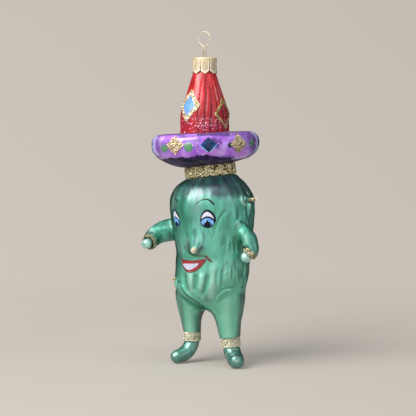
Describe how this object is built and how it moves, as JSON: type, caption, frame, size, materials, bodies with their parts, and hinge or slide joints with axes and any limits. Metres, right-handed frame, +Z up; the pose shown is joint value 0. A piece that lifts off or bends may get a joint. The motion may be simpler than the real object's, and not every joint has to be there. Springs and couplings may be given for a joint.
{
  "type": "cactus ornament",
  "caption": "Blown-glass cactus figure with arms, legs and a wide round hat, hanging from a crimped metal cap with a spring wire loop.",
  "frame": {"origin": "inner crest of the wire loop, where a hook carries the ornament", "axes": "+Z up along the hanging axis, -Y the way the face looks, +X the figure's own left side"},
  "size_m": [0.0641, 0.052, 0.1633],
  "materials": {
    "wire": "pale gold plated spring wire, worn bright on the loop",
    "cap": "pale gold stamped sheet with small embossed dots and a crimped skirt",
    "red_lacquer": "silvered inside, glossy transparent red lacquer outside, glitter-edged lozenges",
    "purple_lacquer": "silvered inside, glossy violet lacquer, gold glitter and painted lozenges and dots",
    "green_lacquer": "silvered inside, satin metallic green lacquer over moulded ribs",
    "gold_glitter": "coarse pale gold glitter flakes bedded in clear glue",
    "pearl_lacquer": "pearly pale mint enamel"
  },
  "bodies": {
    "hanger": {"hanger_wire": "wire"},
    "cap": {"cap": "cap"},
    "glass": {"hat_crown": "red_lacquer", "hat_brim": "purple_lacquer", "hat_band": "gold_glitter", "body_shell": "green_lacquer", "arm_right": "green_lacquer", "wrist_band_right": "gold_glitter", "hand_right": "pearl_lacquer", "arm_left": "green_lacquer", "wrist_band_left": "gold_glitter", "hand_left": "pearl_lacquer", "leg_right": "green_lacquer", "ankle_band_right": "gold_glitter", "foot_right": "green_lacquer", "leg_left": "green_lacquer", "ankle_band_left": "gold_glitter", "foot_left": "green_lacquer", "spine_head_left": "gold_glitter", "spine_hip_right": "gold_glitter", "spine_nose": "gold_glitter"}
  },
  "joints": [
    {"name": "neck_pull", "type": "slide", "parent": "glass", "child": "cap", "axis": [0, 0, 1], "range_m": [0, 0.022]},
    {"name": "hanger_turn", "type": "hinge", "parent": "cap", "child": "hanger", "pos_m": [0, 0, -0.0121], "axis": [0, 0, 1], "continuous": true}
  ]
}
